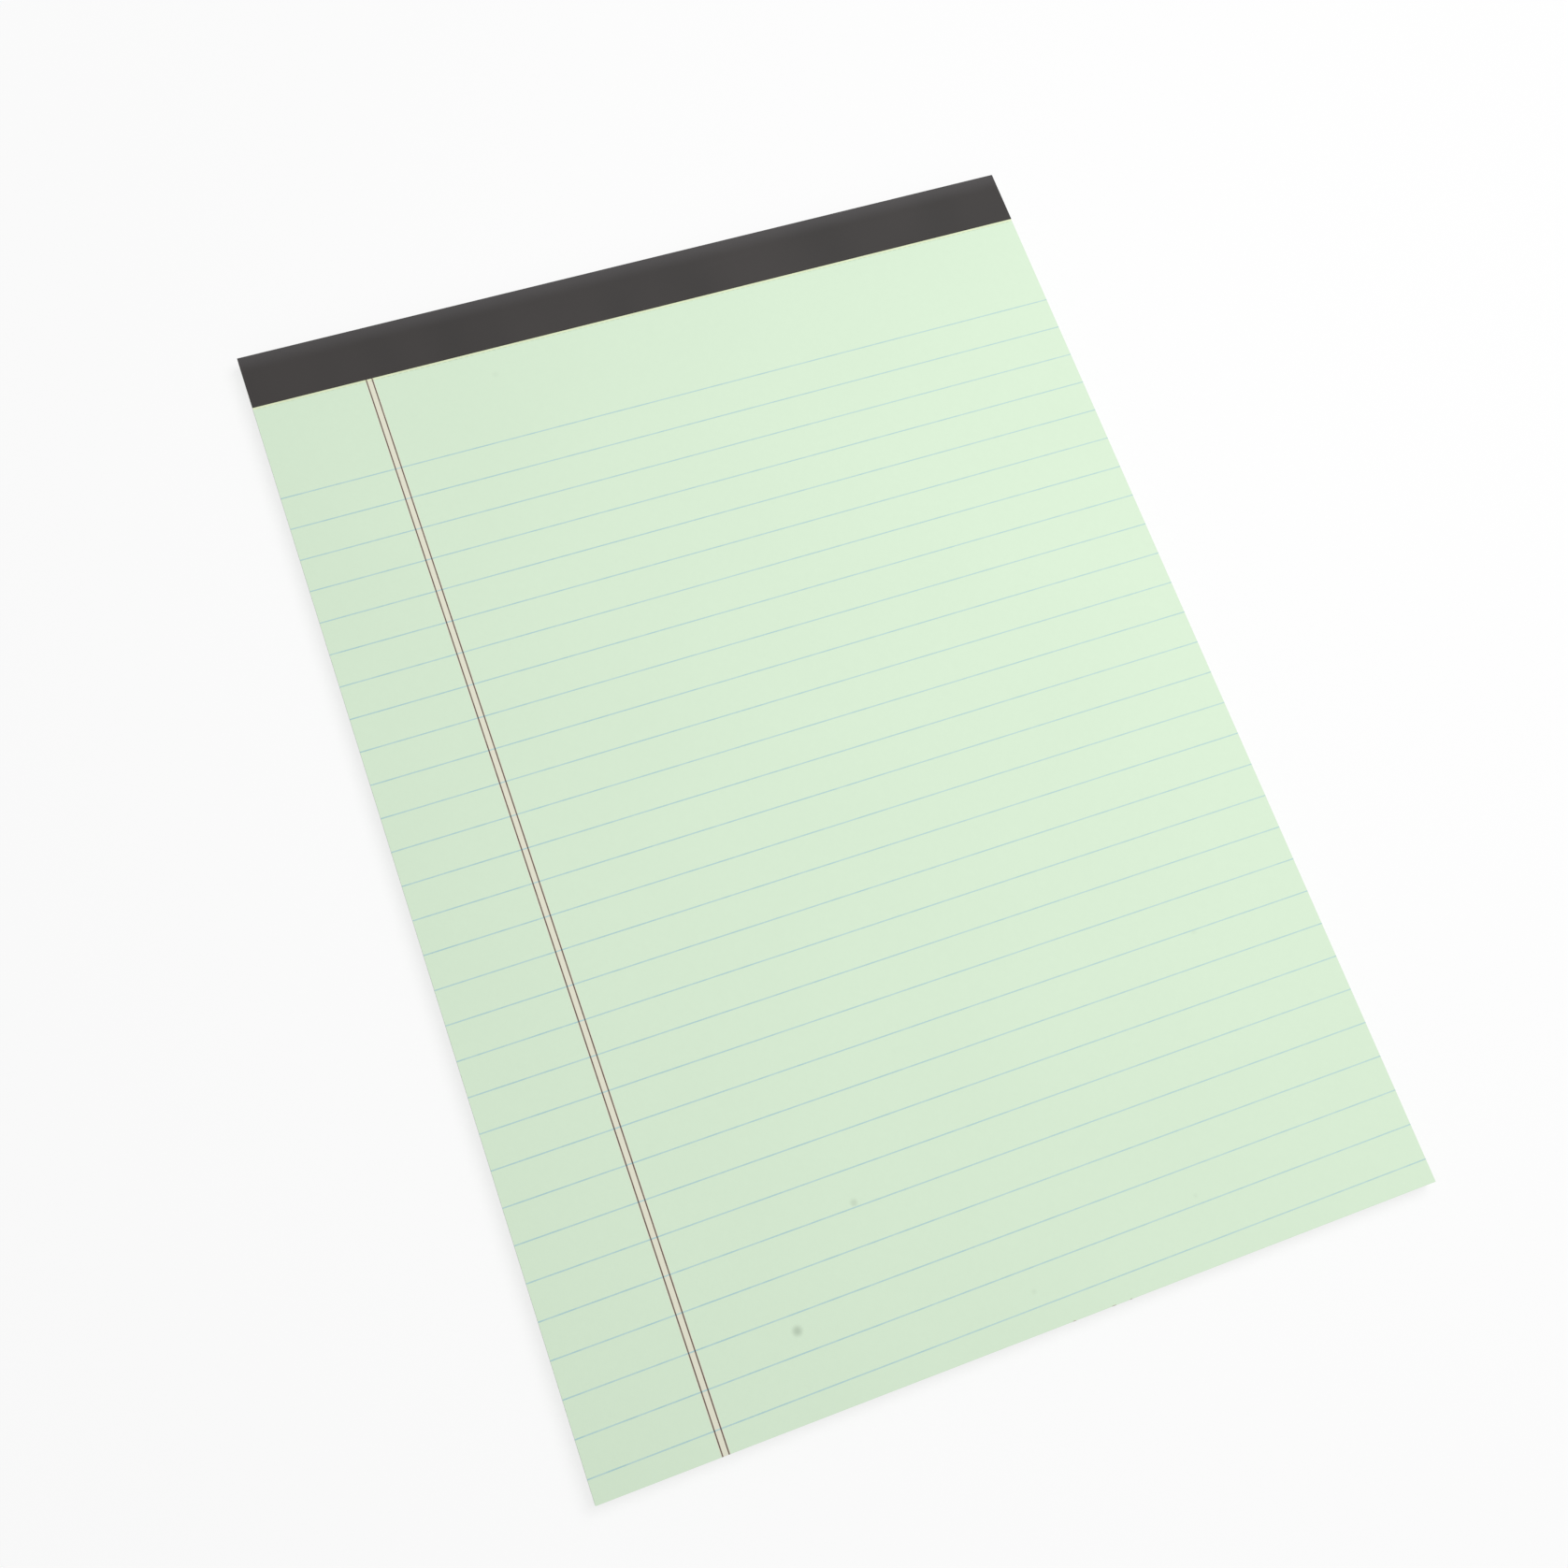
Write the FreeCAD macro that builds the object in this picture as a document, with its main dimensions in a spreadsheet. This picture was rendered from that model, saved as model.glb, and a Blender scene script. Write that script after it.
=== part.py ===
import FreeCAD, Part
import os
import Sketcher

# A ruled writing pad lying flat, writing side up. +Z is up and +Y points to the bound head.
# The origin is the middle of the pad's footprint, on the surface that it lies on. All sizes are in mm.
doc = FreeCAD.newDocument("legal_pad")

# Driving dimensions
dims = doc.addObject("Spreadsheet::Sheet", "dims")
DRIVING_SIZES = {
    "pad_width": 215.9,
    "pad_length": 298.45,
    "sheet_count": 50,
    "sheet_thickness": 0.085,
    "sheet_gap": 0.02,
    "edge_groove_depth": 0.08,
    "board_thickness": 0.75,
    "board_press": 0.05,
    "head_round": 0.35,
    "tape_strip_width": 38.1,
    "tape_front": 15.0,
    "tape_thickness": 0.18,
    "perforation_offset": 0.6,
    "perforation_slit": 1.0,
    "perforation_tie": 0.5,
    "perforation_width": 0.1,
    "staple_count": 4,
    "staple_crown": 12.7,
    "staple_inset": 7.0,
    "staple_clinch": 4.5,
    "staple_depth": 0.02,
    "staple_clearance": 0.05,
    "wire_width": 0.55,
    "wire_thickness": 0.4,
    "wire_bend_radius": 0.35,
    "rule_first": 42.0,
    "rule_pitch": 8.95,
    "rule_width": 0.3,
    "rule_foot_blank": 5.0,
    "margin_offset": 30.0,
    "margin_spacing": 1.55,
    "margin_width": 0.3,
    "ink_thickness": 0.02,
    "overprint_thickness": 0.02,
}
for row, (alias, size) in enumerate(DRIVING_SIZES.items(), start=1):
    dims.set(f"A{row}", alias)
    dims.set(f"B{row}", str(size))
    dims.setAlias(f"B{row}", alias)
doc.recompute()

# Places that several pieces share, each worked out from the driving dimensions
LEFT_EDGE = "(-dims.pad_width / 2)"
RIGHT_EDGE = "(dims.pad_width / 2)"
HEAD_EDGE = "((dims.pad_length - dims.tape_thickness) / 2)"
FOOT_EDGE = f"({HEAD_EDGE} - dims.pad_length)"
TAPED_BOTTOM = "dims.tape_thickness"
BOARD_BOTTOM = f"({TAPED_BOTTOM} - dims.board_press)"
BOARD_TOP = f"({BOARD_BOTTOM} + dims.board_thickness)"
PAGE_TOP = f"({BOARD_TOP} + dims.sheet_count * dims.sheet_thickness)"
TAPE_FRONT_EDGE = f"({HEAD_EDGE} - dims.tape_front)"
TAPE_BACK_EDGE = (
    f"({HEAD_EDGE} - dims.tape_strip_width + dims.tape_front + {PAGE_TOP} - {TAPED_BOTTOM})"
)
BEYOND_EDGE = 1.0


def new_body(label):
    """A body of the document under its own label."""
    body = doc.addObject("PartDesign::Body", label)
    body.Label = label
    return body


def origin_item(body, role):
    """The body's own origin plane or axis that has this role."""
    return next(item for item in body.Origin.OriginFeatures if item.Role == role)


def new_sketch(body, name, plane, offset):
    """A sketch on the body's origin plane, moved along the plane's normal by an expression."""
    sketch = body.newObject("Sketcher::SketchObject", name)
    sketch.AttachmentSupport = [(origin_item(body, plane), "")]
    sketch.MapMode = "FlatFace"
    sketch.setExpression("AttachmentOffset.Base.z", offset)
    return sketch


def closed_outline(sketch, corners):
    """Straight edges from corner to corner and back to the first, each corner at two expressions."""
    points = [FreeCAD.Vector(*map(sketch.evalExpression, corner)) for corner in corners]
    for edge, point in enumerate(points):
        sketch.addGeometry(Part.LineSegment(point, points[(edge + 1) % len(points)]))
    for edge, (across, up) in enumerate(corners):
        sketch.addConstraint(Sketcher.Constraint("Coincident", edge, 2, (edge + 1) % len(corners), 1))
        for kind, expression in (("DistanceX", across), ("DistanceY", up)):
            place = sketch.evalExpression(expression)
            number = sketch.addConstraint(Sketcher.Constraint(kind, -1, 1, edge, 1, place))
            sketch.setExpression(f"Constraints[{number}]", expression)


def rectangle(sketch, left, right, bottom, top):
    """A closed outline with four square corners."""
    closed_outline(sketch, [(left, bottom), (right, bottom), (right, top), (left, top)])


def feature(body, kind, name, sketch, length, reverse=False, middle=False):
    """A pad or pocket of the sketch, its length bound to an expression."""
    item = body.newObject(f"PartDesign::{kind}", name)
    item.Profile = sketch
    item.Reversed = reverse
    item.Midplane = middle
    item.setExpression("Length", length)
    return item


def repeat(body, name, original, axis, spacing, count, reverse=False):
    """Evenly spaced copies of a feature along one of the body's origin axes."""
    pattern = body.newObject("PartDesign::LinearPattern", name)
    pattern.Originals = [original]
    pattern.Direction = (origin_item(body, axis), [""])
    pattern.Reversed = reverse
    pattern.Mode = "Spacing"
    pattern.setExpression("Offset", spacing)
    pattern.setExpression("Occurrences", count)
    body.Tip = pattern
    return pattern


def round_edges(body, name, base, radius, axis, places):
    """A fillet on the edges of base along an axis, at pairs of expressions on the two other axes."""
    doc.recompute()
    near = 1e-4
    across, up = "XYZ".replace(axis, "").lower()
    names = []
    for number, edge in enumerate(base.Shape.Edges, start=1):
        middle = edge.CenterOfMass
        along_axis = getattr(edge.BoundBox, f"{axis}Length") > near
        for place in places:
            offset = FreeCAD.Vector(
                getattr(middle, across) - base.evalExpression(place[0]),
                getattr(middle, up) - base.evalExpression(place[1]),
            )
            if along_axis and offset.Length < near:
                names.append(f"Edge{number}")
    fillet = body.newObject("PartDesign::Fillet", name)
    fillet.Base = (base, names)
    fillet.setExpression("Radius", radius)
    return fillet


# Wire staples, driven from the front and clinched behind, and the channels that they press for themselves
STAPLE_SPACING = "(dims.pad_width / dims.staple_count)"
FIRST_STAPLE = f"({LEFT_EDGE} + {STAPLE_SPACING} / 2)"
STAPLE_ROW = f"({HEAD_EDGE} - dims.staple_inset)"
CROWN_TOP = f"({PAGE_TOP} - dims.staple_depth)"
CLINCH_BOTTOM = f"({TAPED_BOTTOM} + dims.staple_depth)"


def bent_wire_row(label, clearance):
    """A row of closed staples bent from flat wire, larger on every side by the clearance."""
    body = new_body(label)
    left, right = f"{FIRST_STAPLE} - dims.staple_crown / 2", f"{FIRST_STAPLE} + dims.staple_crown / 2"
    outer_left, inner_left = f"{left} - {clearance}", f"{left} + dims.wire_thickness + {clearance}"
    outer_right, inner_right = f"{right} + {clearance}", f"{right} - dims.wire_thickness - {clearance}"
    outer_top = f"{CROWN_TOP} + {clearance}"
    inner_top = f"{CROWN_TOP} - dims.wire_thickness - {clearance}"
    outer_bottom = f"{CLINCH_BOTTOM} - {clearance}"
    inner_bottom = f"{CLINCH_BOTTOM} + dims.wire_thickness + {clearance}"
    left_tip = f"{left} + dims.staple_clinch + {clearance}"
    right_tip = f"{right} - dims.staple_clinch - {clearance}"
    outer_bends = [
        (outer_left, outer_bottom),
        (outer_left, outer_top),
        (outer_right, outer_top),
        (outer_right, outer_bottom),
    ]
    inner_bends = [
        (inner_right, inner_bottom),
        (inner_right, inner_top),
        (inner_left, inner_top),
        (inner_left, inner_bottom),
    ]
    outline = new_sketch(body, f"{label}_outline", "XZ_Plane", f"-{STAPLE_ROW}")
    closed_outline(outline, [
        (left_tip, outer_bottom), *outer_bends, (right_tip, outer_bottom),
        (right_tip, inner_bottom), *inner_bends, (left_tip, inner_bottom),
    ])
    wire_width = f"dims.wire_width + 2 * {clearance}"
    wire = feature(body, "Pad", f"{label}_wire", outline, wire_width, middle=True)
    inner_radius = f"dims.wire_bend_radius - {clearance}"
    inside = round_edges(body, f"{label}_inner_bends", wire, inner_radius, "Y", inner_bends)
    outer_radius = f"dims.wire_bend_radius + dims.wire_thickness + {clearance}"
    bent = round_edges(body, f"{label}_outer_bends", inside, outer_radius, "Y", outer_bends)
    row = repeat(body, f"{label}_row", bent, "X_Axis", STAPLE_SPACING, "dims.staple_count")
    row.TransformMode = "Whole shape"
    return body


def pierced(label, uncut, channels):
    """The piece with the staples' channels cut out of it."""
    cut = doc.addObject("Part::Cut", label)
    cut.Label = label
    cut.Base = uncut
    cut.Tool = channels
    return cut


wire_staples = bent_wire_row("wire_staples", "0")
staple_channels = bent_wire_row("staple_channels", "dims.staple_clearance")


# Sheets: one block, with a hairline groove round the three trimmed edges between each sheet and the next
def make_page_block():
    """The stack of sheets, rounded where the tape pulls over its head, perforated and stapled."""
    body = new_body("uncut_pages")
    outline = new_sketch(body, "sheet_outline", "XY_Plane", BOARD_TOP)
    rectangle(outline, LEFT_EDGE, RIGHT_EDGE, FOOT_EDGE, HEAD_EDGE)
    stack = feature(body, "Pad", "stack", outline, "dims.sheet_count * dims.sheet_thickness")
    rounded = round_edges(body, "pressed_head", stack, "dims.head_round", "X", [(HEAD_EDGE, PAGE_TOP)])

    between = new_sketch(body, "trimmed_edges", "XY_Plane", f"{BOARD_TOP} + dims.sheet_thickness")
    depth = "dims.edge_groove_depth"
    closed_outline(between, [
        (f"{LEFT_EDGE} - {BEYOND_EDGE}", f"{HEAD_EDGE} + {BEYOND_EDGE}"),
        (f"{LEFT_EDGE} - {BEYOND_EDGE}", f"{FOOT_EDGE} - {BEYOND_EDGE}"),
        (f"{RIGHT_EDGE} + {BEYOND_EDGE}", f"{FOOT_EDGE} - {BEYOND_EDGE}"),
        (f"{RIGHT_EDGE} + {BEYOND_EDGE}", f"{HEAD_EDGE} + {BEYOND_EDGE}"),
        (f"{RIGHT_EDGE} - {depth}", f"{HEAD_EDGE} + {BEYOND_EDGE}"),
        (f"{RIGHT_EDGE} - {depth}", f"{FOOT_EDGE} + {depth}"),
        (f"{LEFT_EDGE} + {depth}", f"{FOOT_EDGE} + {depth}"),
        (f"{LEFT_EDGE} + {depth}", f"{HEAD_EDGE} + {BEYOND_EDGE}"),
    ])
    hairline = feature(body, "Pocket", "hairline", between, "dims.sheet_gap")
    repeat(body, "hairlines", hairline, "Z_Axis", "dims.sheet_thickness", "dims.sheet_count - 1")

    slit_pitch = "(dims.perforation_slit + dims.perforation_tie)"
    slit_count = f"floor(dims.pad_width / {slit_pitch})"
    slit_row_length = f"({slit_count} * {slit_pitch} - dims.perforation_tie)"
    first_slit = f"({LEFT_EDGE} + (dims.pad_width - {slit_row_length}) / 2)"
    slit_top = f"({TAPE_FRONT_EDGE} - dims.perforation_offset)"
    slit_outline = new_sketch(body, "slit_outline", "XY_Plane", PAGE_TOP)
    rectangle(
        slit_outline,
        first_slit,
        f"{first_slit} + dims.perforation_slit",
        f"{slit_top} - dims.perforation_width",
        slit_top,
    )
    slit = feature(body, "Pocket", "slit", slit_outline, "dims.sheet_thickness")
    repeat(body, "perforation", slit, "X_Axis", slit_pitch, slit_count)
    return pierced("page_block", body, staple_channels)


page_block = make_page_block()


# Backing board: one piece of chipboard, pressed in a little where the tape lies under it
def make_backing_board():
    """The board under the sheets, trimmed with them."""
    body = new_body("uncut_board")
    outline = new_sketch(body, "board_outline", "XY_Plane", BOARD_BOTTOM)
    rectangle(outline, LEFT_EDGE, RIGHT_EDGE, FOOT_EDGE, HEAD_EDGE)
    feature(body, "Pad", "board", outline, "dims.board_thickness")
    pressed = new_sketch(body, "pressed_outline", "XY_Plane", BOARD_BOTTOM)
    rectangle(
        pressed,
        f"{LEFT_EDGE} - {BEYOND_EDGE}",
        f"{RIGHT_EDGE} + {BEYOND_EDGE}",
        TAPE_BACK_EDGE,
        f"{HEAD_EDGE} + {BEYOND_EDGE}",
    )
    seat = feature(body, "Pocket", "tape_seat", pressed, "dims.board_press", reverse=True)
    round_edges(body, "pressed_board_head", seat, "dims.head_round", "X", [(HEAD_EDGE, TAPED_BOTTOM)])
    return pierced("backing_board", body, staple_channels)


backing_board = make_backing_board()


# Binding tape: one strip folded over the head, glued to the top sheet, the head and the board
def make_binding_tape():
    """The strip's section, drawn in side view and carried across the pad."""
    body = new_body("binding_tape")
    outer_top = f"({PAGE_TOP} + dims.tape_thickness)"
    outer_head = f"({HEAD_EDGE} + dims.tape_thickness)"
    outer_bottom = f"({TAPED_BOTTOM} - dims.tape_thickness)"
    section = new_sketch(body, "tape_section", "YZ_Plane", "0")
    closed_outline(section, [
        (TAPE_FRONT_EDGE, PAGE_TOP),
        (HEAD_EDGE, PAGE_TOP),
        (HEAD_EDGE, TAPED_BOTTOM),
        (TAPE_BACK_EDGE, TAPED_BOTTOM),
        (TAPE_BACK_EDGE, outer_bottom),
        (outer_head, outer_bottom),
        (outer_head, outer_top),
        (TAPE_FRONT_EDGE, outer_top),
    ])
    strip = feature(body, "Pad", "strip", section, "dims.pad_width", middle=True)
    inner_folds = [(HEAD_EDGE, PAGE_TOP), (HEAD_EDGE, TAPED_BOTTOM)]
    inside = round_edges(body, "inner_folds", strip, "dims.head_round", "X", inner_folds)
    outer_folds = [(outer_head, outer_top), (outer_head, outer_bottom)]
    outer_radius = "dims.head_round + dims.tape_thickness"
    round_edges(body, "outer_folds", inside, outer_radius, "X", outer_folds)
    return body


binding_tape = make_binding_tape()


# Printed lines: blue rules across the top sheet, and a double margin line printed over them
def make_blue_rules():
    """The rules, from edge to edge, as many as fit above the blank strip at the foot."""
    body = new_body("blue_rules")
    rule = new_sketch(body, "first_rule", "XY_Plane", PAGE_TOP)
    first_y = f"({HEAD_EDGE} - dims.rule_first)"
    half_width = "dims.rule_width / 2"
    rectangle(rule, LEFT_EDGE, RIGHT_EDGE, f"{first_y} - {half_width}", f"{first_y} + {half_width}")
    ink = feature(body, "Pad", "rule_ink", rule, "dims.ink_thickness")
    ruled_length = "(dims.pad_length - dims.rule_first - dims.rule_foot_blank)"
    count = f"floor({ruled_length} / dims.rule_pitch) + 1"
    repeat(body, "rules", ink, "Y_Axis", "dims.rule_pitch", count, reverse=True)
    return body


def make_margin_lines(rules):
    """Two lines down the left side, from the tape to the foot, whose ink bridges each rule."""
    body = new_body("unbridged_lines")
    line = new_sketch(body, "first_margin_line", "XY_Plane", PAGE_TOP)
    centre_x = f"({LEFT_EDGE} + dims.margin_offset)"
    half_width = "dims.margin_width / 2"
    rectangle(line, f"{centre_x} - {half_width}", f"{centre_x} + {half_width}", FOOT_EDGE, TAPE_FRONT_EDGE)
    ink = feature(body, "Pad", "margin_ink", line, "dims.ink_thickness + dims.overprint_thickness")
    repeat(body, "margin_pair", ink, "X_Axis", "dims.margin_spacing", "2")
    return pierced("margin_lines", body, rules)


blue_rules = make_blue_rules()
margin_lines = make_margin_lines(blue_rules)

doc.recompute()

SUB_PARTS = [page_block, backing_board, binding_tape, wire_staples, blue_rules, margin_lines]
for item in doc.Objects:
    if "Invalid" in item.State or "Error" in item.State:
        raise RuntimeError(f"{item.Label} failed: {item.State}")
for item in SUB_PARTS:
    if item.Shape.isNull() or not item.Shape.isValid():
        raise RuntimeError(f"{item.Label} has no valid shape")

os.makedirs("parts", exist_ok=True)
for item in SUB_PARTS:
    item.Shape.exportStep(f"parts/{item.Label}.step")
    size = item.Shape.BoundBox
    print(f"{item.Label}: {len(item.Shape.Solids)} solid(s), {item.Shape.Volume:.3f} mm3, "
          f"{size.XLength:.3f} x {size.YLength:.3f} x {size.ZLength:.3f} mm")
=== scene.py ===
import math

import bpy
import numpy as np
from mathutils import Matrix, Vector


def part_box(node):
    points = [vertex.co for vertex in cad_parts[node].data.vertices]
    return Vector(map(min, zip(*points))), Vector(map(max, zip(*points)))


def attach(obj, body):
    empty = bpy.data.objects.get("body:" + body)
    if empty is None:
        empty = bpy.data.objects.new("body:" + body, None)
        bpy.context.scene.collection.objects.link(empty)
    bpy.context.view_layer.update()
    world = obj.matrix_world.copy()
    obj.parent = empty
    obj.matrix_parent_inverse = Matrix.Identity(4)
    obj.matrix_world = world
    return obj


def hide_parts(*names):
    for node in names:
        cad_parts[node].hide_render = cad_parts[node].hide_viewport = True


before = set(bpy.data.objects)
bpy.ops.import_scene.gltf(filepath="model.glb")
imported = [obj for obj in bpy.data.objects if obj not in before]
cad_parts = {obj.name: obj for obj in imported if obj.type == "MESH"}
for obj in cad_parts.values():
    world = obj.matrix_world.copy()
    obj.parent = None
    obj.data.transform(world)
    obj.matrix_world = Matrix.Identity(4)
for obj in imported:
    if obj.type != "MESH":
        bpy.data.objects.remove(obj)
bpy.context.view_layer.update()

MM = 0.001


# Sheets. Fifty leaves of pale green writing paper in one block, trimmed together after binding, so that
# their edges make one wall of hairlines. The staples stand in slots that they punched through every
# leaf, and the leaves tear off along a row of slits just below the tape.
page_low, page_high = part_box("page_block")
rules_low, rules_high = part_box("blue_rules")
margin_low, margin_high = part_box("margin_lines")
staple_low, staple_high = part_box("wire_staples")
tape_edge = margin_high.y
leaf_count = 50
leaf_pitch = (page_high.z - page_low.z) / leaf_count
leaf_gap = 0.004 * MM
leaf_chamfer = 0.012 * MM
head_round = 0.35 * MM
slit_count = 143
slit_length = 1.0 * MM
slit_pitch = 1.5 * MM
slit_width = 0.1 * MM
tape_to_slits = 0.6 * MM
slit_high = tape_edge - tape_to_slits
slit_low = slit_high - slit_width
staple_count = 4
staple_spacing = (page_high.x - page_low.x) / staple_count
crown_length = 12.7 * MM
wire_thickness = 0.4 * MM
wire_bend = 0.35 * MM
slot_room = 0.05 * MM
rule_gap = 8.95 * MM
rule_width = 0.3 * MM
margin_width = 0.3 * MM
margin_middle = (margin_low.x + margin_high.x) / 2
margin_half = (margin_high.x - margin_low.x) / 2
lines_across = 14
lines_up = 18

# The blade drifts in and out once down the block, and each leaf adds a step of its own. The top leaf's
# edges are the block's. Along an edge, a slow wave makes its leaf's step larger and smaller.
LEFT, RIGHT, FOOT = range(3)
half_drift = 0.03 * MM
drift_turn = 1.6 * math.pi
largest_step = 0.04 * MM
wave_length = 70 * MM
wave_share = 0.5
trimming = np.random.default_rng(11)
blade_drift = half_drift * (1 - np.cos(np.linspace(0, drift_turn, leaf_count)))
leaf_step = blade_drift[:, None] + trimming.uniform(0, largest_step, (leaf_count, 3))
leaf_step[-1] = 0
wave_start = trimming.uniform(0, 2 * math.pi, (leaf_count, 3))


def cut_back(leaf, side, along_edge):
    """How far a leaf's cut edge lies inside the block: its own step, times one plus a slow wave."""
    wave = np.sin(2 * math.pi * along_edge / wave_length + wave_start[leaf, side])
    return leaf_step[leaf, side] * (1 + wave_share * wave)


def rounded_back(z):
    """How far the head lies back at a height: nothing, then a quarter circle up to the top leaf."""
    above = np.clip(z - (page_high.z - head_round), 0, head_round)
    return head_round - np.sqrt(head_round ** 2 - above ** 2)


def cells(grid):
    """The four corners of every cell of a grid of point numbers, anticlockwise."""
    return np.stack([grid[:-1, :-1], grid[1:, :-1], grid[1:, 1:], grid[:-1, 1:]], axis=-1)


def leaf_shell(leaf):
    """One leaf as a closed shell of points and four-cornered faces.

    A grid of lines is laid over its top and its bottom face. A cell inside a staple's slot or a slit is
    left out of both, and a wall stands wherever an open cell meets a solid one. Round the outside, three
    bands join the two faces: a chamfer, the cut edge and a chamfer. Only the top leaf gets its slits,
    because those of the others can't be seen."""
    z_high = page_low.z + (leaf + 1) * leaf_pitch
    z_low = z_high - leaf_pitch + leaf_gap
    on_top = leaf == leaf_count - 1
    up_the_bend = np.clip(z_high - (staple_high.z - wire_thickness - wire_bend), 0, wire_bend)
    bend_room = wire_bend - math.sqrt(wire_bend ** 2 - up_the_bend ** 2)
    slot_outer = crown_length / 2 + slot_room
    slot_inner = crown_length / 2 - wire_thickness - slot_room - bend_room
    under_crown = z_high < staple_high.z - wire_thickness

    middles = page_low.x + staple_spacing * (np.arange(staple_count) + 0.5)
    slot_lines = middles[:, None] + np.array([-slot_outer, -slot_inner, slot_inner, slot_outer])
    first_slit = (page_low.x + page_high.x - (slit_count - 1) * slit_pitch - slit_length) / 2
    slit_starts = first_slit + slit_pitch * np.arange(slit_count if on_top else 0)
    even_lines = np.linspace(page_low.x, page_high.x, lines_across)
    slit_lines = np.concatenate([slit_starts, slit_starts + slit_length])
    x_lines = np.unique(np.concatenate([even_lines, slot_lines.ravel(), slit_lines]))
    slot_low, slot_high = staple_low.y - slot_room, staple_high.y + slot_room
    y_lines = np.concatenate([
        np.linspace(page_low.y, slit_low, lines_up),
        [slit_high, slot_low, slot_high, page_high.y],
    ])

    x_middle = (x_lines[1:] + x_lines[:-1])[:, None] / 2
    y_middle = (y_lines[1:] + y_lines[:-1])[None, :] / 2
    from_staple = np.abs((x_middle - page_low.x) % staple_spacing - staple_spacing / 2)
    punched = (from_staple < slot_outer) & ((from_staple > slot_inner) | (not under_crown))
    punched = punched & (y_middle > slot_low) & (y_middle < slot_high)
    in_slit = ((x_middle - first_slit) % slit_pitch < slit_length) & (x_middle > first_slit)
    in_slit = in_slit & (x_middle < first_slit + slit_count * slit_pitch)
    slitted = in_slit & (y_middle > slit_low) & (y_middle < slit_high) & on_top
    opened = punched | slitted

    x, y = np.meshgrid(x_lines, y_lines, indexing="ij")

    def layer(z, inset):
        """The grid at a height, drawn in to the leaf's own cut edges less the inset."""
        left = page_low.x + cut_back(leaf, LEFT, y) + inset
        right = page_high.x - cut_back(leaf, RIGHT, y) - inset
        foot = page_low.y + cut_back(leaf, FOOT, x) + inset
        head = page_high.y - rounded_back(z_high) - inset
        return np.stack([np.clip(x, left, right), np.clip(y, foot, head), np.full_like(x, z)], axis=-1)

    bottom = np.arange(x.size).reshape(x.shape)
    outline = np.concatenate([bottom[:-1, 0], bottom[-1, :-1], bottom[:0:-1, -1], bottom[0, :0:-1]])
    lower_rim, upper_rim = x.size + np.arange(2 * outline.size).reshape(2, -1)
    top = bottom + x.size + 2 * outline.size
    points = np.concatenate([
        layer(z_low, leaf_chamfer).reshape(-1, 3),
        layer(z_low + leaf_chamfer, 0).reshape(-1, 3)[outline],
        layer(z_high - leaf_chamfer, 0).reshape(-1, 3)[outline],
        layer(z_high, leaf_chamfer).reshape(-1, 3),
    ])

    faces = [cells(top)[~opened], cells(bottom)[~opened][:, ::-1]]
    facing_x = np.stack([bottom[1:-1, :-1], bottom[1:-1, 1:], top[1:-1, 1:], top[1:-1, :-1]], axis=-1)
    facing_y = np.stack([top[:-1, 1:-1], top[1:, 1:-1], bottom[1:, 1:-1], bottom[:-1, 1:-1]], axis=-1)
    for walls, before, after in (
        (facing_x, opened[:-1], opened[1:]),
        (facing_y, opened[:, :-1], opened[:, 1:]),
    ):
        faces.append(walls[after & ~before])
        faces.append(walls[before & ~after][:, ::-1])
    for below, above in (
        (outline, lower_rim),
        (lower_rim, upper_rim),
        (upper_rim, outline + top[0, 0]),
    ):
        faces.append(np.stack([below, np.roll(below, -1), np.roll(above, -1), above], axis=-1))
    return points, np.concatenate(faces)


def joined(shells):
    """Several shells' points and faces as one list of each, the face numbers moved on to match."""
    points, faces = zip(*shells)
    starts = np.cumsum([0] + [len(part) for part in points[:-1]])
    return np.concatenate(points), np.concatenate([part + start for part, start in zip(faces, starts)])


def tube_shell(rings):
    """Closed rings of points, each joined to the next, and both ends closed by bands across them.

    The points of a ring run once round a strip's section, so a band joins each point of its first half
    to the one opposite."""
    count, around = rings.shape[:2]
    number = np.arange(count * around).reshape(count, around)
    after = np.roll(number, -1, axis=1)
    sides = np.stack([number[:-1], number[1:], after[1:], after[:-1]], axis=-1).reshape(-1, 4)
    half = np.arange(around // 2 - 1)
    across = np.stack([half, half + 1, around - 2 - half, around - 1 - half], axis=-1)
    ends = [across, across[:, ::-1] + number[-1, 0]]
    return rings.reshape(-1, 3), np.concatenate([sides, *ends])


def new_piece(name, points, faces, material):
    """A mesh object of those points and faces, smooth except at edges sharper than 40 degrees."""
    mesh = bpy.data.meshes.new(name)
    mesh.from_pydata(points.tolist(), [], faces.tolist())
    mesh.shade_smooth()
    mesh.set_sharp_from_angle(angle=math.radians(40))
    mesh.materials.append(material)
    piece = bpy.data.objects.new(name, mesh)
    bpy.context.scene.collection.objects.link(piece)
    return piece


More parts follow.
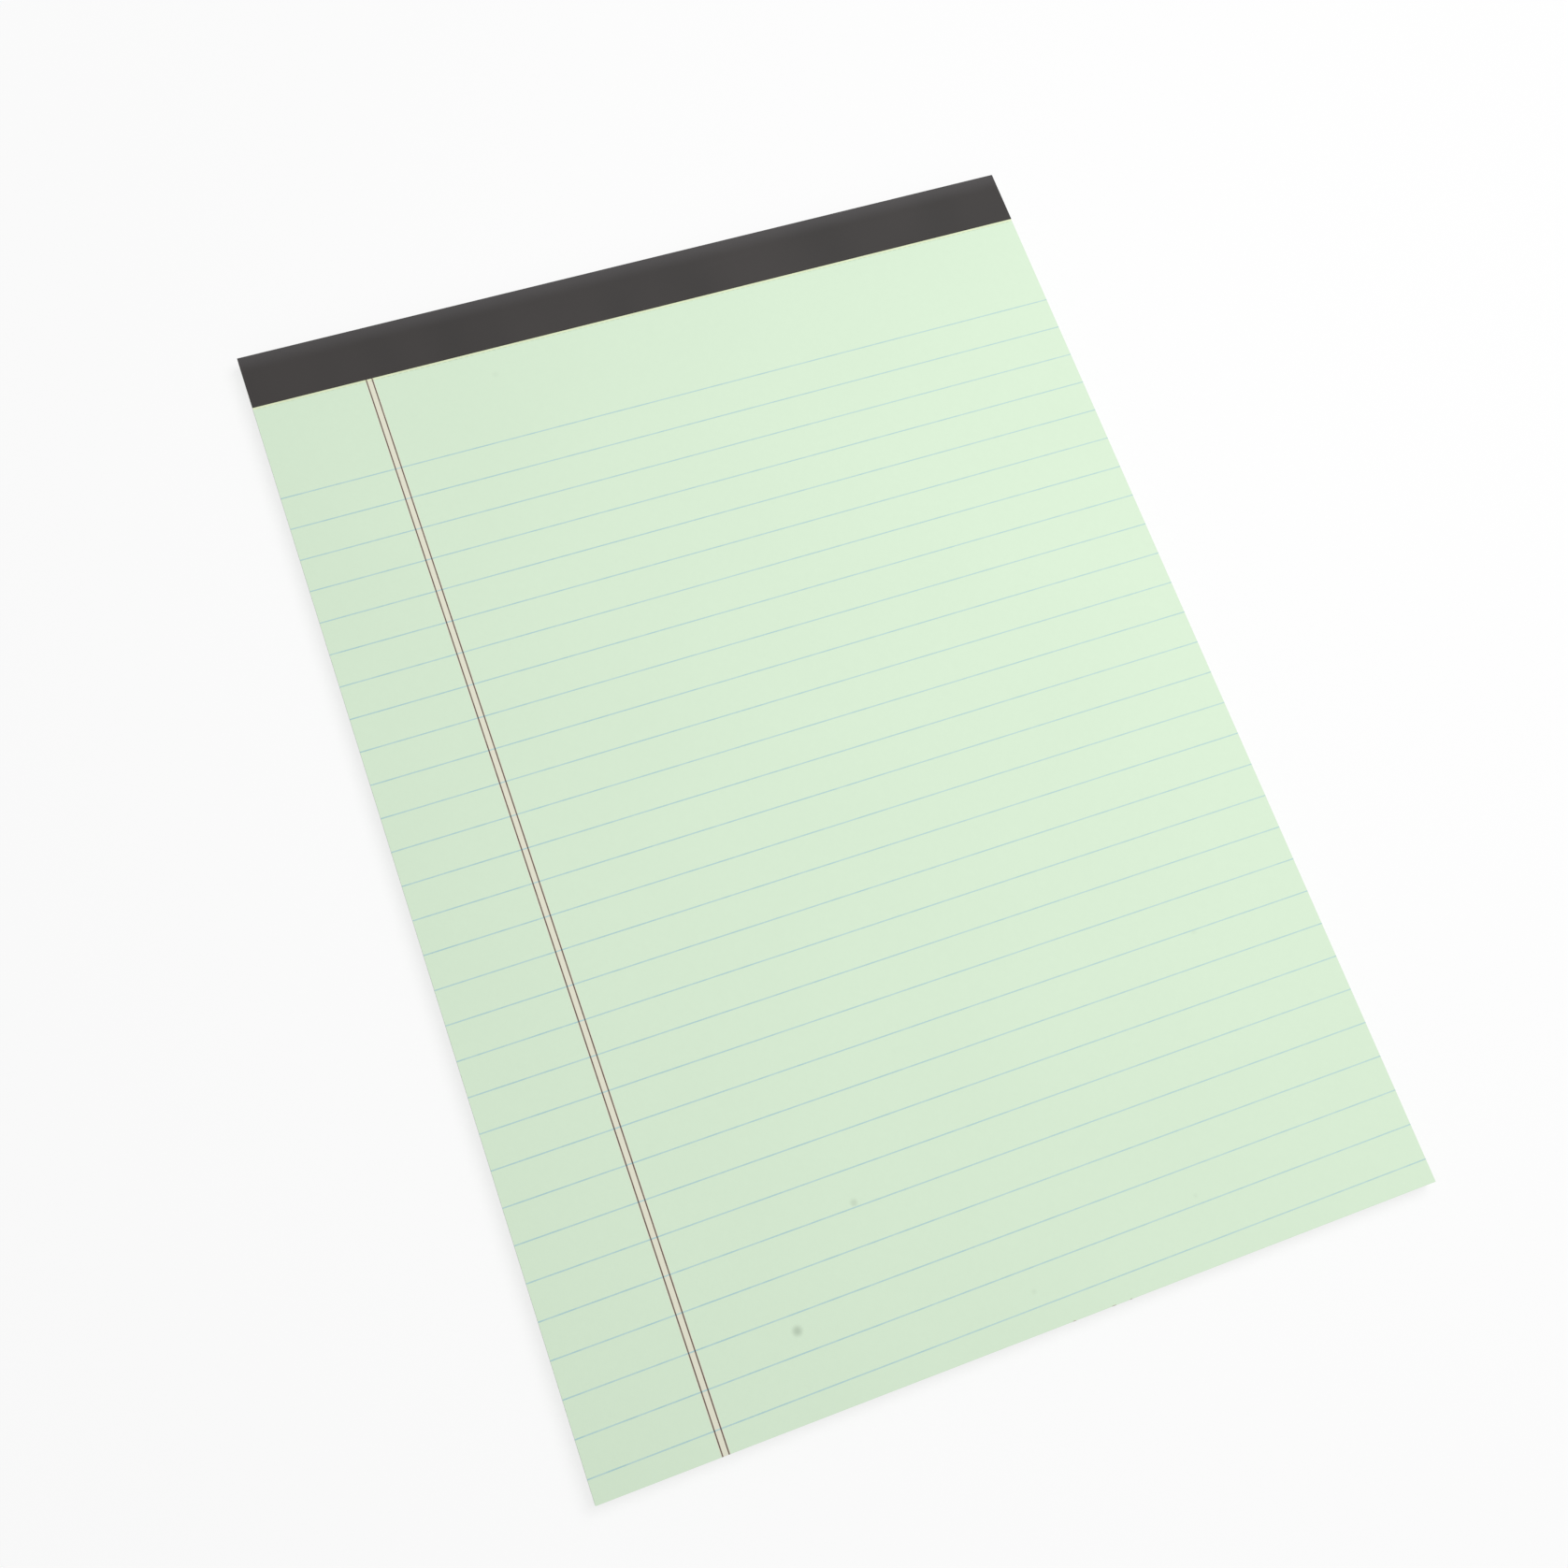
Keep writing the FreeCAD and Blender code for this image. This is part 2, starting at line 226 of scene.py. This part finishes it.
class Tone:
    """A socket in a material. Operators on it add Math nodes, so a pattern is written as a formula."""

    def __init__(self, tree, socket=None):
        self.tree = tree
        self.socket = socket

    def node(self, kind, settings, sockets, output=0):
        """A new node: its settings are set first, then each socket gets a value or a link."""
        made = self.tree.nodes.new(kind)
        for name, value in settings.items():
            setattr(made, name, value)
        for name, value in sockets.items():
            if isinstance(value, Tone):
                self.tree.links.new(value.socket, made.inputs[name])
            else:
                made.inputs[name].default_value = value
        return Tone(self.tree, made.outputs[output] if made.outputs else None)

    def maths(self, operation, *values):
        """A Math node of that operation, with this socket first and the values after it."""
        return self.node("ShaderNodeMath", {"operation": operation}, dict(enumerate((self, *values))))

    def __add__(self, other):
        return self.maths("ADD", other)

    def __sub__(self, other):
        return self.maths("SUBTRACT", other)

    def __mul__(self, other):
        return self.maths("MULTIPLY", other)

    def __rsub__(self, other):
        return self.node("ShaderNodeMath", {"operation": "SUBTRACT"}, {0: other, 1: self})

    __radd__ = __add__
    __rmul__ = __mul__


def paint(red, green, blue):
    """The linear colour that a shader takes for a colour as it is seen, each part from 0 to 255."""
    seen = np.array([red, green, blue]) / 255
    linear = np.where(seen <= 0.04045, seen / 12.92, ((seen + 0.055) / 1.055) ** 2.4)
    return (*linear.tolist(), 1.0)


def new_material(name):
    """An empty material, and its Object coordinates, which every pattern starts from."""
    material = bpy.data.materials.new(name)
    material.use_nodes = True
    material.node_tree.nodes.clear()
    place = Tone(material.node_tree).node("ShaderNodeTexCoord", {}, {}, "Object")
    return material, place


def along(place, axis):
    """The place's X, Y or Z."""
    return place.node("ShaderNodeSeparateXYZ", {}, {"Vector": place}, axis)


def grain(place, size, detail=2.0, stretch=(1, 1, 1)):
    """Noise from 0 to 1 with features of about that size, each axis stretched by its own factor."""
    scale = [1 / (size * factor) for factor in stretch]
    mapped = place.node("ShaderNodeMapping", {}, {"Vector": place, "Scale": scale})
    return place.node("ShaderNodeTexNoise", {}, {"Vector": mapped, "Scale": 1.0, "Detail": detail})


def ease(value, start, end):
    """0 up to the start, 1 from the end, and a smooth step between the two."""
    sockets = {"Value": value, "From Min": start, "From Max": end}
    return value.node("ShaderNodeMapRange", {"interpolation_type": "SMOOTHSTEP"}, sockets)


def strip(value, centre, half_width, softness):
    """1 within half_width of the centre, and smoothly down to 0 over the softness beyond."""
    return 1 - ease((value - centre).maths("ABSOLUTE"), half_width, half_width + softness)


def spot(place, centre, radius, softness):
    """1 within the radius of a point of the XY plane, and smoothly down to 0 over the softness."""
    across = along(place, "X") - centre[0]
    up = along(place, "Y") - centre[1]
    return 1 - ease((across * across + up * up).maths("SQRT"), radius, radius + softness)


def blend(factor, first, second):
    """The first colour where the factor is 0, the second where it is 1.

    A Mix node for colours takes its factor at socket 0 and its colours at 6 and 7, and gives them at 2."""
    return factor.node("ShaderNodeMix", {"data_type": "RGBA"}, {0: factor, 6: first, 7: second}, 2)


def near_rule(place, half_width, softness):
    """1 on each ruled line: the lines are a fixed gap apart, from the first one to the last."""
    y = along(place, "Y")
    first = rules_high.y - rule_width / 2
    offset = (first + rule_gap / 2 - y).maths("WRAP", rule_gap, 0.0) - rule_gap / 2
    ruled = strip(y, (rules_high.y + rules_low.y) / 2, (rules_high.y - rules_low.y) / 2, rule_width)
    return strip(offset, 0.0, half_width, softness) * ruled


def finished(material, colour, roughness, height, depth, specular, metallic=0.0):
    """A shaded surface, with bump that is the depth deep where the height falls from 1 to 0."""
    bump = height.node("ShaderNodeBump", {}, {"Height": height, "Distance": depth})
    shader = height.node("ShaderNodeBsdfPrincipled", {}, {
        "Base Color": colour,
        "Roughness": roughness,
        "Normal": bump,
        "Specular IOR Level": specular,
        "Metallic": metallic,
    })
    height.node("ShaderNodeOutputMaterial", {}, {"Surface": shader})
    return material


def writing_paper():
    """Pale green paper with soft fibres, a warm tint between the margin lines and a few marks."""
    material, place = new_material("writing_paper")
    x, y, z = (along(place, axis) for axis in "XYZ")
    colour = blend(grain(place, 45 * MM, detail=1.0), paint(219, 239, 214), paint(216, 236, 211))
    colour = blend(grain(place, 1.5 * MM, detail=3.0) * 0.3, colour, paint(211, 231, 207))

    cream = strip(x, margin_middle, margin_half, softness=0.3 * MM)
    colour = blend(cream * 0.85, colour, paint(232, 227, 208))
    glue_tint = strip(y, tape_edge - 0.2 * MM, 0.2 * MM, softness=0.3 * MM)
    colour = blend(glue_tint * 0.7, colour, paint(235, 240, 198))

    # Each mark's distance from the left edge and from the head, its width, and how dark it is.
    marks = (
        (62.7, 22.7, 1.8, 0.07),
        (55.2, 278.5, 2.6, 0.45),
        (77.8, 255.7, 2.0, 0.25),
        (183.0, 221.5, 1.4, 0.08),
        (111.0, 289.0, 1.4, 0.10),
        (157.0, 281.5, 1.2, 0.08),
    )
    for from_left, from_head, width, strength in marks:
        centre = (page_low.x + from_left * MM, page_high.y - from_head * MM)
        smudge = spot(place, centre, 0.05 * width * MM, softness=0.65 * width * MM)
        colour = blend(smudge * strength, colour, paint(140, 156, 138))

    # The cut edges show the leaves as lighter and darker hairlines, with a tick at each printed line.
    leaf_tone = grain(place, 0.16 * MM, detail=3.0, stretch=(300, 300, 1))
    wall = blend(ease(leaf_tone, 0.3, 0.7), paint(198, 218, 197), paint(220, 238, 217))
    rule_ends = near_rule(place, 0.1 * MM, softness=0.15 * MM)
    wall = blend(rule_ends * 0.35, wall, paint(176, 202, 200))
    from_margin = (x - margin_middle).maths("ABSOLUTE") - (margin_half - margin_width / 2)
    margin_ends = strip(from_margin, 0.0, 0.1 * MM, softness=0.15 * MM)
    wall = blend(margin_ends * 0.35, wall, paint(160, 140, 128))
    below_top = 1 - ease(z, page_high.z - 0.05 * MM, page_high.z - 0.01 * MM)
    colour = blend(below_top, colour, wall)

    # What stands above the top face is frayed, and browner.
    frayed = ease(z, page_high.z + 0.01 * MM, page_high.z + 0.04 * MM)
    colour = blend(frayed * 0.9, colour, paint(190, 180, 166))

    fibres = grain(place, 0.3 * MM, detail=3.0) + grain(place, 5 * MM) * 2.0
    roughness = 0.75 + 0.15 * grain(place, 3 * MM)
    return finished(material, colour, roughness, fibres, depth=0.010 * MM, specular=0.25)


burr_bend = 0.12 * MM
burr_thickness = 0.04 * MM
burr_root = math.radians(190)
burr_curl = math.radians(115)
burr_blunting = 0.02
burr_places = ((117.7, 0.9), (128.0, 1.2), (132.5, 0.7))


def foot_burr(from_left, width):
    """A shred of the top leaf that the blade turned up: a tongue that narrows to its tip.

    Its middle line is an arc that rises from the foot edge and curls back over the leaf. Its half width
    falls off as the square root of one, less the square of the share of the way to the tip, plus a
    little that keeps the tip blunt."""
    share = np.linspace(0, 1, 9)
    turn = burr_root - share * burr_curl
    half_width = width / 2 * np.sqrt(1 - share ** 2 + burr_blunting)
    x = page_low.x + from_left + half_width[:, None] * np.array([-1, 1, 1, -1])
    radius = burr_bend + burr_thickness * np.array([0.5, 0.5, -0.5, -0.5])
    y = page_low.y + burr_bend + burr_thickness / 2 + radius * np.cos(turn)[:, None]
    z = page_high.z - leaf_chamfer + radius * np.sin(turn)[:, None]
    return tube_shell(np.stack([x, y, z], axis=-1))


burrs = [foot_burr(from_left * MM, width * MM) for from_left, width in burr_places]
leaves = [leaf_shell(leaf) for leaf in range(leaf_count)]
sheets = new_piece("leaf_stack", *joined(leaves + burrs), writing_paper())
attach(sheets, "root")
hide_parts("page_block")


# Printed lines. Pale blue ink ruled across every sheet, and over it the double margin line in a
# brownish red, so that each crossing is darker. Both inks are thin, sink in and dry matt.
def ruling_ink():
    """Faint blue ink, laid unevenly along each rule and a little thinner towards the right."""
    material, place = new_material("ruling_ink")
    coverage = grain(place, 1.2 * MM, stretch=(3, 1, 1))
    colour = blend(ease(coverage, 0.3, 0.7), paint(173, 207, 210), paint(187, 216, 214))
    thinner = ease(along(place, "X"), page_low.x, page_high.x)
    colour = blend(thinner * 0.3, colour, paint(205, 229, 216))
    return finished(material, colour, 0.8, coverage, depth=0.004 * MM, specular=0.25)


def margin_ink():
    """Brownish red ink, laid unevenly, and darker where it crosses a rule."""
    material, place = new_material("margin_ink")
    coverage = grain(place, 1.0 * MM, stretch=(1, 3, 1))
    colour = blend(ease(coverage, 0.3, 0.7), paint(105, 88, 80), paint(122, 105, 95))
    crossing = near_rule(place, 0.12 * MM, softness=0.12 * MM)
    colour = blend(crossing * 0.75, colour, paint(84, 82, 84))
    return finished(material, colour, 0.8, coverage, depth=0.004 * MM, specular=0.25)


def dress(node_name, material):
    """The CAD node keeps its shape and gets this material in its slots."""
    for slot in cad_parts[node_name].material_slots:
        slot.material = material


dress("blue_rules", ruling_ink())
dress("margin_lines", margin_ink())


# Backing board. One leaf of grey-brown chipboard pressed from waste paper, glued and stapled under the
# sheets and trimmed with them. Flecks and short fibres show on its face, and layers on its cut edge.
def chipboard():
    """Grey-brown board with flecks, short fibres and a layered cut edge."""
    material, place = new_material("chipboard")
    colour = blend(grain(place, 14 * MM, detail=3.0), paint(160, 149, 132), paint(142, 131, 114))
    fibres = grain(place, 0.5 * MM, detail=4.0, stretch=(3, 1, 1))
    colour = blend(ease(fibres, 0.55, 0.70) * 0.6, colour, paint(184, 174, 156))
    flecks = grain(place, 0.7 * MM, detail=1.0)
    colour = blend(ease(flecks, 0.66, 0.72) * 0.7, colour, paint(100, 90, 78))
    layers = grain(place, 0.12 * MM, stretch=(80, 80, 1))
    colour = blend(ease(layers, 0.5, 0.7) * 0.25, colour, paint(120, 110, 95))
    height = fibres + flecks * 0.5
    return finished(material, colour, 0.88, height, depth=0.03 * MM, specular=0.2)


dress("backing_board", chipboard())


# Staples. Four lengths of flat steel wire, driven through sheets and board from the front and clinched
# flat behind. The tape covers them on both sides.
def staple_steel():
    """Drawn steel wire with fine lines along its length."""
    material, place = new_material("staple_steel")
    lines = grain(place, 0.05 * MM, stretch=(30, 1, 1))
    colour = blend(lines, paint(176, 177, 180), paint(206, 207, 209))
    roughness = 0.3 + 0.15 * lines
    return finished(material, colour, roughness, lines, depth=0.004 * MM, specular=0.5, metallic=1.0)


dress("wire_staples", staple_steel())


# Binding tape. One strip of charcoal paper tape, glued to the top sheet, folded over the head and glued
# to the board behind. It has a faint sheen, and the staples under it show as four shallow dents.
tape_low, tape_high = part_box("binding_tape")
tape_thickness = tape_high.z - page_high.z
dent_depth = 0.02 * MM
dent_shoulder = 0.8 * MM
cut_edge_round = 0.04 * MM
# How far down the tape the painted highlight along the head reaches.
head_highlight_depth = 5 * MM
front_steps, fold_steps, head_steps, back_steps = 30, 8, 5, 19
steps_across = 216


def charcoal_tape():
    """Charcoal paper with fine grain, soft patches of glue tone and painted sheen, faint uneven sheen,
    painted head highlight.
    """
    material, place = new_material("charcoal_tape")
    # Soft patches of glue tone. Their lighter and darker colour is also painted sheen, and they vary the
    # roughness too.
    glue_and_sheen_patches = grain(place, 22 * MM, detail=1.0, stretch=(1, 2, 1))
    colour = blend(ease(glue_and_sheen_patches, 0.25, 0.75), paint(50, 48, 47), paint(57, 54, 53))
    fine = grain(place, 0.25 * MM, detail=3.0, stretch=(1.6, 1, 1))
    colour = blend(fine * 0.4, colour, paint(59, 56, 55))
    # Painted highlight: the colour is lighter along the head, where the tape turns over the fold towards
    # the light.
    painted_head_highlight = ease(along(place, "Y"), page_high.y - head_highlight_depth, page_high.y)
    colour = blend(painted_head_highlight * 0.7, colour, paint(78, 76, 77))
    height = fine + grain(place, 4 * MM, detail=1.0) * 3.0
    roughness = 0.62 - 0.12 * glue_and_sheen_patches
    return finished(material, colour, roughness, height, depth=0.012 * MM, specular=0.22)


def smooth_step(value, start, end):
    """0 up to the start, 1 from the end, and three squares less two cubes of the share between."""
    share = np.clip((value - start) / (end - start), 0, 1)
    return share * share * (3 - 2 * share)


def folded_tape():
    """The tape's section, carried across the pad.

    Each face of the section is one path of centres pushed out by a radius, at an angle that turns from
    up to down over the two folds. The inner radius is the fold's, and the outer one has the thickness
    on top of it, less the dents over the staples and a little round at the two cut edges. Stations 0
    to 1 are the front flap, 1 to 2 a fold, 2 to 3 the head, 3 to 4 a fold, and 4 to 5 the back flap."""
    rise = page_high.z - head_round
    sink = tape_low.z + tape_thickness + head_round
    fold_y = page_high.y - head_round
    station = np.concatenate([
        [0.0, cut_edge_round / (fold_y - tape_edge)],
        np.linspace(0, 1, front_steps + 1)[1:-1],
        np.linspace(1, 2, fold_steps + 1),
        np.linspace(2, 3, head_steps + 1)[1:-1],
        np.linspace(3, 4, fold_steps + 1),
        np.linspace(4, 5, back_steps + 1)[1:-1],
        [5.0 - cut_edge_round / (fold_y - tape_low.y), 5.0],
    ])
    centre_y = np.interp(station, [0, 1, 4, 5], [tape_edge, fold_y, fold_y, tape_low.y])
    centre_z = np.interp(station, [0, 2, 3, 5], [rise, rise, sink, sink])
    angle = np.interp(station, [0, 1, 2, 3, 4, 5], [90, 90, 0, 0, -90, -90]) * math.pi / 180

    x = np.linspace(page_low.x, page_high.x, steps_across + 1)[:, None]
    crown_y = (staple_low.y + staple_high.y) / 2
    from_crown = np.abs((x - page_low.x) % staple_spacing - staple_spacing / 2) - crown_length / 2
    beside = np.abs(centre_y - crown_y)[None, :]
    dent = 1 - smooth_step(np.maximum(from_crown, beside), 0.0, dent_shoulder)
    dent = dent * dent_depth * (station < 1)
    cut = np.zeros_like(station)
    cut[[0, -1]] = cut_edge_round
    outer = head_round + tape_thickness - dent - cut
    inner = np.full_like(outer, head_round)
    radius = np.concatenate([outer, inner[:, ::-1]], axis=1)

    turn = np.concatenate([angle, angle[::-1]])
    y = np.concatenate([centre_y, centre_y[::-1]]) + radius * np.cos(turn)
    z = np.concatenate([centre_z, centre_z[::-1]]) + radius * np.sin(turn)
    return np.stack([np.broadcast_to(x, y.shape), y, z], axis=-1)


tape = new_piece("tape_strip", *tube_shell(folded_tape()), charcoal_tape())
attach(tape, "root")
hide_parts("binding_tape")


# Table. A plain white floor, large enough to fill every view. To the camera it is mostly a white glow,
# so it stays white around the pad while still taking the pad's soft shadow.
floor_half = 6.0
floor_drop = 0.02 * MM
shadow_reach = 0.2
shadow_fade = 0.4
shadow_share = 0.22


def white_floor():
    """White paint, mixed with a white glow where the camera sees it, and all glow further off."""
    material, place = new_material("white_floor")
    seen = place.node("ShaderNodeLightPath", {}, {}, "Is Camera Ray")
    near_pad = spot(place, (0.0, 0.0), shadow_reach, shadow_fade)
    diffuse = place.node("ShaderNodeBsdfDiffuse", {}, {"Color": (0.9, 0.9, 0.9, 1.0)})
    glow = place.node("ShaderNodeEmission", {}, {"Strength": 1.0})
    glowing = seen * (1 - shadow_share * near_pad)
    mixed = place.node("ShaderNodeMixShader", {}, {0: glowing, 1: diffuse, 2: glow})
    place.node("ShaderNodeOutputMaterial", {}, {"Surface": mixed})
    return material


floor_corners = np.array([[-1, -1], [1, -1], [1, 1], [-1, 1]]) * floor_half
floor_points = np.column_stack([floor_corners, np.full(4, -floor_drop)])
floor = new_piece("table_top", floor_points, np.array([[0, 1, 2, 3]]), white_floor())


# Light. White surroundings give about half of it, and one large soft lamp, up to the right of the pad and
# a little towards its head, gives the rest. So the sheet falls off towards its lower left corner.
surroundings = bpy.data.worlds.new("white_studio")
surroundings.use_nodes = True
surroundings.node_tree.nodes.clear()
ray = Tone(surroundings.node_tree)
path = {name: ray.node("ShaderNodeLightPath", {}, {}, name)
        for name in ("Is Camera Ray", "Is Glossy Ray", "Is Transmission Ray")}
seen_white = path["Is Camera Ray"].maths("MAXIMUM", path["Is Glossy Ray"])
seen_white = seen_white.maths("MAXIMUM", path["Is Transmission Ray"])
lighting = ray.node("ShaderNodeBackground", {}, {"Color": (1, 1, 1, 1), "Strength": 0.43})
backdrop = ray.node("ShaderNodeBackground", {}, {"Color": (1, 1, 1, 1), "Strength": 1.0})
sky = ray.node("ShaderNodeMixShader", {}, {0: seen_white, 1: lighting, 2: backdrop})
ray.node("ShaderNodeOutputWorld", {}, {"Surface": sky})
bpy.context.scene.world = surroundings


def facing(direction):
    """The turn that points a lamp or a camera along the direction, with no roll."""
    return direction.to_track_quat("-Z", "Y").to_matrix().to_4x4()


lamp_place = Vector((0.28, 0.09, 0.76))
lamp_data = bpy.data.lights.new("soft_lamp", "AREA")
lamp_data.shape = "SQUARE"
lamp_data.size = 0.5
lamp_data.energy = 4.45
lamp = bpy.data.objects.new("soft_lamp", lamp_data)
lamp.matrix_world = Matrix.Translation(lamp_place) @ facing(-lamp_place)
bpy.context.scene.collection.objects.link(lamp)


# Camera. High above the pad's lower left corner and aimed near its middle, so the pad narrows towards
# its head, and turned so that it leans to the left in the picture.
camera_place = Vector((-112.6, -125.0, 459.8)) * MM
camera_aim = Vector((-10.7, -4.0, 5.13)) * MM
camera_roll = math.radians(21.3)
camera_data = bpy.data.cameras.new("camera")
camera_data.sensor_width = 36.0
camera_data.lens = 44.0
camera_data.clip_start = 0.01
camera = bpy.data.objects.new("camera", camera_data)
camera_turn = facing(camera_aim - camera_place) @ Matrix.Rotation(camera_roll, 4, "Z")
camera.matrix_world = Matrix.Translation(camera_place) @ camera_turn
bpy.context.scene.collection.objects.link(camera)
bpy.context.scene.camera = camera

bpy.context.scene.view_settings.view_transform = "Standard"

bpy.context.view_layer.update()
